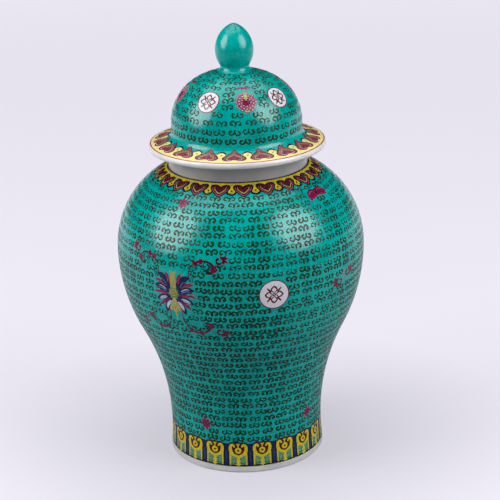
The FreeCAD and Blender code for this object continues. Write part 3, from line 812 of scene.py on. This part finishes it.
def bat(coats, field, angle, run):
    """A magenta bat with its wings spread and two long dark feelers."""
    spot = Spot(angle, run, 2)
    wing = [(0, -3.4), (2.4, -2.2), (4.2, -4.6), (6.4, -2.6), (8.6, -5.2), (10.2, -3.2), (12.2, -5.6),
            (12.6, -1.8), (10.6, 2.2), (6.6, 4.7), (2.6, 4.7), (0, 3.8)]
    arm = [(0, 3.8), (2.6, 4.7), (6.6, 4.7), (10.6, 2.2), (12.6, -2.4)]
    coats["magenta"].patch(spot, smooth_path(mirrored(wing), 2, True), 0)
    for side in (1, -1):
        hand = Spot(angle, run, 2, mirror=side < 0)
        for u in (2.4, 5.4, 8.4):
            coats["maroon"].stroke(hand, [(u * 0.7, 3.2 - u * 0.05), (u, -2.4)], (0.7, 0.4), 1)
        coats["maroon"].stroke(hand, arm, (0.7, 0.9, 0.7), 1, 3)
        coats["mauve"].stroke(hand, [(1.6, 1.8), (5.8, 3.1), (9.2, 0.8)], (0.4, 0.8, 0.4), 1)
        feeler = [(5.6, 5.2), (9.4, 7.8), (13.4, 7.0), (15.8, 2.8), (14.6, -0.6)]
        coats["navy"].stroke(hand, feeler, (0.7, 1.1, 1.2, 1.1, 1.5), 0, 3)
    coats["maroon"].patch(spot, circle(1.7, 12, 0, 0.6), 1, DOT_RINGS)
    field.keep(spot, [(-11, -1), (-5.5, 1), (0, 1), (5.5, 1), (11, -1)], 3.8)
    field.keep(spot, [(-14, 4), (14, 4)], 1.4)


def spray_pair(coats, field, angle):
    """Two sprays facing each other across a thin pale bud."""
    spot = Spot(angle, MIDDLE)
    spray(coats, spot.near(JAR, -10.5, -3.2, -8, 1.35, True))
    spray(coats, spot.near(JAR, 10.5, 3.0, 12, 1.35))
    coats["mauve"].stroke(spot, [(0.4, -6.5), (0, 0), (0.6, 6.5)], (0.5, 1.5, 0.5), 0)
    for v in (-3, 0, 3):
        coats["mauve"].stroke(spot, [(-2.2, v + 1.6), (0, v), (2.4, v + 1.6)], 0.5, 0)
    field.keep(spot, [(-11, -3), (11, 3)], 4.0)
    field.keep(spot, [(0, 3), (0, -3), (-5, -1), (5, 1)], 2.2)


def jar_rows():
    """Where the jar's rows run: two upright, then one way and the other, and two upside down."""
    start = 20.0
    end = JAR.run_at(BAND_LOW) - BAND_TALL - 3.2
    count = round((end - start) / ROW)
    rows = []
    for k in range(count + 1):
        flipped = k > count - 2 or (k > 1 and k % 2 == 0)
        rows.append((start + (end - start) * k / count, flipped))
    return rows


def paint_jar():
    """The coats of enamel on the jar: bands and motifs first, then curls in what they leave free."""
    coats = {name: Coat(JAR) for name in ENAMELS}
    field = Field(JAR)
    rng = random.Random(SEED)
    heart_band(coats)
    foot_band(coats)
    for angle in LOTUSES:
        lotus(coats, field, angle)
        blossom(coats, field, angle - 2.6, HIGH_BLOSSOM_RUN, 0.95)
        blossom(coats, field, angle + 0.4, BLOSSOM_RUN)
    for angle in ROUNDELS:
        roundel(coats, field, angle, MIDDLE, ROUNDEL, "maroon", 1.35)
    for angle in PAIRS:
        spray_pair(coats, field, angle)
        bat(coats, field, angle - 1, BAT_RUN)
        blossom(coats, field, angle - 1.6, BLOSSOM_RUN - 0.8)
    curl_rows(coats["curl_edge"], coats["curl_core"], field, jar_rows(), rng)
    return coats


# ---------------- ornament of the lid

HEADS = 18
HEAD_FROM = -2.6
LID_ROUNDELS = (-30.0, 49.0, 140.0, 228.0)
MUMS = (10.5, 95.0, 184.0, 279.0)
LID_ROUNDEL = 10.2
BRIM_LINE = 77.4  # radius of the red line round the brim
BRIM_SIDES = 65.0  # radius of the yellow's edge beside the ruyi heads
BRIM_ARCS = 61.4  # and between them
HEAD_TIPS = 60.6
HEAD_TALL = 7.8  # from the tip of a head to its middle
SMALL_BAT_RISE = 13.8  # how far the small bats are above the chrysanthemums
LEVEL_ROWS = ((3.4, True), (11.4, True), (19.0, False), (26.2, True))  # way up the dome, upside down or not
LOOSE_ROWS = (32.8, 39.2, 45.6, 52.2, 58.8, 65.4, 71.6)  # the less even rows above them, all upright
MUM_RISE = 37.4  # way up the dome of the chrysanthemums and roundels
LOOSE_SWAY = 14.0


def chrysanthemum(coats, field, angle, run):
    """A round flower of three rings of petals, with a short stem at its top."""
    spot = Spot(angle, run)
    coats["maroon"].patch(spot, circle(8.4, 24), 0, (0.5, 0.9, 1.0))
    rings = (
        (18, 5.2, 9.6, 2.7, "ruyi", 1),
        (14, 3.4, 7.0, 2.4, "mauve", 2),
        (9, 1.2, 4.4, 2.4, "magenta", 3),
    )
    for count, inner, outer, width, colour, order in rings:
        for k in range(count):
            turn = 2 * math.pi * (k + order / 2) / count
            u, v = math.sin(turn), math.cos(turn)
            line = [(u * reach, v * reach) for reach in (inner, (inner + outer) / 2, outer)]
            vein = [line[0], (u * outer * 0.82, v * outer * 0.82)]
            dot = circle(0.42, 6, u * outer * 0.9, v * outer * 0.9)
            coats[colour].stroke(spot, line, (1.2, width, 1.6), order, 2)
            coats["maroon"].stroke(spot, vein, (0.6, 0.3), order + 1, 2)
            coats["white"].patch(spot, dot, order + 1, DOT_RINGS)
    for u in (-0.8, 0.8):
        coats["plume"].stroke(spot, [(u * 0.3, 2.0), (u, 6.0), (u * 0.7, 9.8)], (1.2, 1.5, 0.5), 4)
    coats["plume"].stroke(spot, [(-1.6, -7.4), (0, -8.8), (1.6, -7.4)], 0.9, 3)
    field.keep(spot, [(0, 0)], 9.8)


def small_bat(coats, field, angle, run):
    spot = Spot(angle, run, 2, 0.6)
    for side in (1, -1):
        hand = Spot(angle, run, 2, 0.6, side < 0)
        coats["magenta"].stroke(hand, [(0, 0.8), (5.4, 2.4), (9.6, -0.8)], (5.4, 5.8, 1.6))
        coats["magenta"].stroke(hand, [(3.0, 0.0), (4.4, -3.4)], (3.0, 1.4))
        coats["maroon"].stroke(hand, [(1.0, 3.0), (5.4, 5.2), (9.8, 1.8)], (0.8, 1.1, 0.8), 1)
        coats["maroon"].stroke(hand, [(2.4, 2.4), (3.4, -1.8)], (0.9, 0.6), 1)
    field.keep(spot, [(-8, 1), (0, 1), (8, 1)], 2.0)


def run_outside(radius):
    """The run on the top of the brim where the lid is so wide."""
    start = int(np.argmin(np.abs(LID.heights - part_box("lid_dome")[0].z / MM)))
    end = int(np.argmax(LID.radii)) + 1
    return float(np.interp(radius, LID.radii[start:end], LID.runs[start:end]))


def brim_band(coats):
    """The yellow band on the brim, painted paler as painted light from above: ruyi heads that point at the
    dome.
    """
    pitch = TURN / HEADS
    line_run = run_outside(BRIM_LINE)
    arc_run = run_outside(BRIM_ARCS)
    centre = run_outside(HEAD_TIPS) + HEAD_TALL
    upper_edge = scalloped(HEADS, HEAD_FROM, run_outside(BRIM_SIDES), arc_run)
    coats["yellow_with_painted_light"].ground(upper_edge, at_run(line_run), HEADS * 18, 6)
    coats["iron_red"].ground(at_run(line_run - 0.4), at_run(line_run + 0.6), BRIM_COLUMNS, 3, 1)
    half = [(0, -4.8), (1.5, -4.7), (3.4, -6.1), (6.4, -6.5), (9.2, -5.3), (10.3, -2.9), (9.3, -0.2),
            (6.6, 2.7), (3.4, 5.9), (0, 9.6)]
    chevrons = (([(-6.4, -3.6), (-6.0, -1.4), (-3.0, 1.4), (0, 4.8)], 1.2),
                ([(-8.4, -3.4), (-8.0, -1.2), (-4.2, 2.4), (0, 7.0)], 0.5))
    arc = [(-4.2, -3.8), (-2.8, -1.0), (0, 0.3), (2.8, -1.0), (4.2, -3.8)]
    for k in range(HEADS):
        spot = Spot(HEAD_FROM + k * pitch, centre)
        outline = smooth_path(mirrored(half), 2, True)
        coats["ruyi"].patch(spot, outline, 1)
        coats["maroon"].stroke(spot, outline, 0.8, 2, 1, True)
        for side in (1, -1):
            for line, width in chevrons:
                line = [(u * side, v) for u, v in line]
                coats["plume"].stroke(spot, line, (width * 0.7, width, width), 2)
            loop = [(0.5 * side, -0.4), (2.6 * side, -1.6), (3.4 * side, -3.6), (1.6 * side, -3.9)]
            coats["magenta"].stroke(spot, loop, (1.1, 1.3, 1.3, 0.9), 2)
            glint = [(2.4 * side, -4.9), (5.2 * side, -5.3), (6.9 * side, -3.8)]
            coats["white"].stroke(spot, glint, (0.4, 0.8, 0.4), 2)
        gap = Spot(HEAD_FROM + (k + 0.5) * pitch, arc_run)
        coats["black"].stroke(gap, arc, (1.2, 1.9, 2.1, 1.9, 1.2), 1)
        coats["navy"].stroke(gap, arc[1:-1], (0.5, 0.9, 0.5), 2)
        coats["olive"].patch(gap, circle(1.1, 8, 0, -4.0), 1)


def knob_star(coats):
    """Brush marks like sepals round the tip of the knob."""
    for k in range(8):
        spot = Spot(k * 45 + 14, 5.5)
        coats["maroon"].stroke(spot, [(0, 4.0), (0.5, 0.5), (-0.1, -4.2)], (0.6, 1.5, 0.8), 0)
        coats["black"].stroke(spot, [(0.2, -1.0), (-0.1, -4.0)], (0.4, 0.9), 1)


def paint_lid():
    coats = {name: Coat(LID) for name in ENAMELS}
    field = Field(LID)
    rng = random.Random(SEED + 1)
    brim_band(coats)
    knob_star(coats)
    foot = LID.run_at(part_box("lid_dome")[0].z / MM)
    middle = foot - MUM_RISE
    edge, core = coats["curl_edge"], coats["curl_core"]
    for angle in LID_ROUNDELS:
        roundel(coats, field, angle, middle, LID_ROUNDEL, "ink", 1.2)
    for angle in MUMS:
        chrysanthemum(coats, field, angle, middle)
        small_bat(coats, field, angle, middle - SMALL_BAT_RISE)
    curl_rows(edge, core, field, [(foot - rise, flipped) for rise, flipped in LEVEL_ROWS], rng)
    curl_rows(edge, core, field, [(foot - rise, False) for rise in LOOSE_ROWS], rng, LOOSE_SWAY)
    return coats


# ---------------- materials on nodes, and the pieces

# The slot of each enamel, then its colour where it lies thin and where it lies thick.
ENAMELS = {
    "yellow": ("yellow_enamel", (0.66, 0.52, 0.008), (0.52, 0.38, 0.003)),
    # the same yellow enamel, made paler on the brim as painted light where it faces the lamps
    "yellow_with_painted_light": ("yellow_enamel", (0.86, 0.75, 0.36), (0.79, 0.64, 0.22)),
    "maroon": ("maroon_enamel", (0.085, 0.008, 0.022), (0.040, 0.005, 0.011)),
    "magenta": ("magenta_enamel", (0.27, 0.012, 0.080), (0.13, 0.005, 0.040)),
    "wine": ("magenta_enamel", (0.185, 0.009, 0.052), (0.090, 0.005, 0.027)),
    "ruyi": ("magenta_enamel", (0.31, 0.075, 0.115), (0.18, 0.035, 0.062)),
    "ink": ("maroon_enamel", (0.130, 0.014, 0.012), (0.070, 0.008, 0.008)),
    "mauve": ("magenta_enamel", (0.40, 0.13, 0.20), (0.25, 0.060, 0.12)),
    "navy": ("navy_enamel", (0.010, 0.014, 0.085), (0.005, 0.006, 0.036)),
    "blue": ("navy_enamel", (0.13, 0.24, 0.48), (0.05, 0.12, 0.30)),
    "pale_blue": ("white_enamel", (0.46, 0.54, 0.70), (0.27, 0.36, 0.56)),
    "steel": ("navy_enamel", (0.020, 0.046, 0.150), (0.009, 0.020, 0.070)),
    "white": ("white_enamel", (0.68, 0.655, 0.70), (0.60, 0.575, 0.64)),
    "black": ("navy_enamel", (0.012, 0.010, 0.014), (0.005, 0.004, 0.006)),
    "teal": ("turquoise_enamel", (0.20, 0.36, 0.14), (0.06, 0.25, 0.18)),
    "dark_teal": ("turquoise_enamel", (0.010, 0.060, 0.055), (0.006, 0.030, 0.030)),
    "plume": ("olive_enamel", (0.44, 0.40, 0.13), (0.27, 0.25, 0.06)),
    "olive": ("olive_enamel", (0.26, 0.24, 0.05), (0.14, 0.13, 0.02)),
    "grey": ("olive_enamel", (0.020, 0.040, 0.030), (0.010, 0.022, 0.016)),
    "curl_edge": ("maroon_enamel", (0.008, 0.015, 0.009), (0.004, 0.009, 0.006)),
    "curl_core": ("olive_enamel", (0.062, 0.112, 0.032), (0.028, 0.054, 0.016)),
    "iron_red": ("iron_red", (0.42, 0.06, 0.03), (0.28, 0.03, 0.02)),
}
DRY_ENAMELS = ("curl_edge", "curl_core", "grey")  # thin painted lines that shine less than the glaze
GLOSSY = (0.2, GLAZE_GLOSS)  # roughness and gloss
DRY = (0.3, 0.22)


def coat_pieces():
    """One piece for each enamel on each body."""
    materials = {}
    for name, (_, thin, thick) in ENAMELS.items():
        materials[name] = enamel(name, thin, thick, *(DRY if name in DRY_ENAMELS else GLOSSY))
    for body, coats in (("jar", paint_jar()), ("lid", paint_lid())):
        for name, coat in coats.items():
            if coat.faces:
                coat.made(body + "_" + name, body, ENAMELS[name][0], materials[name])


def biscuit(name):
    """Unglazed porcelain on the land that the jar stands on, white glaze above it, darkened a little as
    painted shade.
    """
    shader = Shader(name, 0.3)
    bare = shader.mixed(shader.noise(grain=1.0, detail=4.0), BARE_DARK, BARE_LIGHT)
    ragged = shader.maths("MULTIPLY", shader.noise(grain=5, detail=2.0), 0.5 * MM)
    edge = shader.maths("ADD", shader.split(shader.place)["Z"], ragged)
    colour = shader.mixed(shader.ranged(edge, *LAND), bare, white(shader, FOOT_PAINTED_SHADE))
    shader.bump(shader.noise(grain=0.5, detail=4.0), depth=0.03)
    return shader.finish(colour, shader.ranged(edge, *LAND, 0.75, 0.14))


FOOT_LINE = 13.0  # height where the foot's white glaze ends
LAP = 1.0  # how far a zone of colour runs past the edge of its node
NECK_GAP = 0.3  # the turquoise stops this far below the neck
BRIM_GAP = 0.6  # and this far above the red line of the brim


def dress_nodes():
    """A glaze for each CAD node, white or turquoise by height."""
    jar_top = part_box("upper_body")[1].z / MM
    dome_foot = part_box("lid_dome")[0].z / MM
    knob_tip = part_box("lid_knob")[1].z / MM
    line_height = float(np.interp(run_outside(BRIM_LINE), LID.runs, LID.heights))
    finishes = {
        "foot_ring": biscuit("foot_glaze"),
        "base_disc": biscuit("base_glaze"),
        "lower_body": glazed("lower_body_glaze", FOOT_LINE, jar_top),
        "upper_body": glazed("upper_body_glaze", FOOT_LINE, jar_top - NECK_GAP),
        # the neck's white glaze is darkened as painted shade under the brim
        "neck": glazed("neck_glaze_painted_shade", painted_shade=NECK_PAINTED_SHADE),
        "lid_brim": glazed("brim_glaze", line_height + BRIM_GAP, dome_foot + LAP),
        "lid_locating_rim": glazed("rim_glaze"),
        "lid_dome": glazed("dome_glaze", dome_foot - LAP, knob_tip),
        "lid_knob": glazed("knob_glaze", dome_foot, knob_tip + LAP),
    }
    for node, material in finishes.items():
        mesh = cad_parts[node].data
        mesh.materials.clear()
        mesh.materials.append(material)


# ---------------- studio

# Each ramp: from one distance to another in metres, from one strength to another.
NEAR_GLOW_PAINTED_SHADOW = (0.06, 0.28, 0.44, 0.62)  # by distance from the jar: dimmer close to it, as a painted shadow round the jar
FAR_GLOW = (0.3, 2.6, 0.0, 0.24)  # added to it farther off
GLOW_BEHIND = (-0.2, 0.9, 0.02, 1.0)  # share of the glow that lights the jar, from the front to the back
FLOOR_RADIUS = 8.0  # metres
FLOOR_CORNERS = 64
FLOOR_COLOUR = (0.26, 0.252, 0.28, 1)
FLOOR_GLOSS = 0.2
GLOW_COLOUR = (0.92, 0.89, 1.0, 1)
BACKDROP_COLOUR = (0.92, 0.90, 1.0, 1)
BACKDROP_GLOW = (0.0, 1.0, 0.04, 0.86)  # dim as a light on the jar, pale where the camera sees it


def stage_floor():
    """A pale floor that runs back into an evenly lit backdrop, and throws little light up at the jar; its
    glow is dimmer close to the jar, a painted shadow round it.
    """
    shader = Shader("floor", 0.6, FLOOR_GLOSS)
    shader.bsdf.inputs["Base Color"].default_value = FLOOR_COLOUR
    shader.bsdf.inputs["Emission Color"].default_value = GLOW_COLOUR
    away = shader.tree.nodes.new("ShaderNodeVectorMath")
    away.operation = "LENGTH"
    shader.link(shader.place, away.inputs[0])
    near, far = (remap(shader.tree, away.outputs["Value"], *glow) for glow in (NEAR_GLOW_PAINTED_SHADOW, FAR_GLOW))
    behind = remap(shader.tree, shader.split(shader.place)["Y"], *GLOW_BEHIND)
    rays = shader.tree.nodes.new("ShaderNodeLightPath")
    seen = shader.maths("MAXIMUM", behind, rays.outputs["Is Camera Ray"])
    glow = shader.maths("MULTIPLY", seen, shader.maths("ADD", near, far))
    shader.link(glow, shader.bsdf.inputs["Emission Strength"])
    corners = [(u, v, 0) for u, v in circle(FLOOR_RADIUS, FLOOR_CORNERS)]
    mesh = bpy.data.meshes.new("floor")
    mesh.from_pydata(corners, [], [tuple(range(FLOOR_CORNERS))])
    mesh.materials.append(shader.material)
    placed("floor", mesh)


# Each light: its name, the way to it, width and height in metres, watts, and whether the glaze mirrors it.
SOFTBOXES = (
    ("softbox_left", (-0.83, -0.24, 0.50), 1.05, 1.25, 20, True),
    ("softbox_right", (0.74, -0.40, 0.54), 1.05, 1.25, 19, True),
    ("overhead", (-0.05, 0.15, 1.0), 2.2, 1.5, 15, True),
    ("fill", (0.15, -1.0, -0.15), 1.2, 0.8, 5.5, False),
)
LIGHT_DISTANCE = 1.5
BLACK_LEVEL = (0.010, 0.006, 0.006)  # the darkest tones, pressed down a little


def softbox(name, direction, width, height, power, mirrored_in_glaze):
    """An area light that faces the middle of the jar from the given direction."""
    light = bpy.data.lights.new(name, "AREA")
    light.shape = "ELLIPSE"
    light.size, light.size_y = width, height
    light.energy = power
    lamp = placed(name, light)
    lamp.location = (cad_low + cad_high) / 2 + Vector(direction).normalized() * LIGHT_DISTANCE
    lamp.rotation_mode = "QUATERNION"
    lamp.rotation_quaternion = Vector(direction).to_track_quat("Z", "Y")
    lamp.visible_glossy = mirrored_in_glaze


def studio():
    """Soft lights, a pale backdrop and plain tones."""
    for light in SOFTBOXES:
        softbox(*light)
    world = bpy.data.worlds.new("studio")
    bpy.context.scene.world = world
    world.use_nodes = True
    tree = world.node_tree
    background = tree.nodes["Background"]
    background.inputs["Color"].default_value = BACKDROP_COLOUR
    rays = tree.nodes.new("ShaderNodeLightPath")
    strength = remap(tree, rays.outputs["Is Camera Ray"], *BACKDROP_GLOW)
    tree.links.new(strength, background.inputs["Strength"])
    view = bpy.context.scene.view_settings
    view.view_transform = "Standard"
    view.look = "None"
    view.use_curve_mapping = True
    view.curve_mapping.black_level = BLACK_LEVEL
    view.curve_mapping.update()


CAMERA_PLACE = (0, -1.3819, 0.6723)
CAMERA_YAW = math.radians(0.34)
CAMERA_PITCH = math.radians(19.24)
CAMERA_ROLL = math.radians(-1.84)
LENS = 115.2  # mm, on a sensor 36 mm wide
SENSOR = 36


def camera():
    """A long lens, looking down at the jar from the front, held a little off level."""
    lens = bpy.data.cameras.new("camera")
    lens.lens = LENS
    lens.sensor_width = SENSOR
    viewer = placed("camera", lens)
    turn = Matrix.Identity(4)
    for angle, axis in ((-CAMERA_YAW, "Z"), (math.pi / 2 - CAMERA_PITCH, "X"), (CAMERA_ROLL, "Z")):
        turn @= Matrix.Rotation(angle, 4, axis)
    viewer.matrix_world = Matrix.Translation(CAMERA_PLACE) @ turn
    bpy.context.scene.camera = viewer


dress_nodes()
coat_pieces()
stage_floor()
studio()
camera()
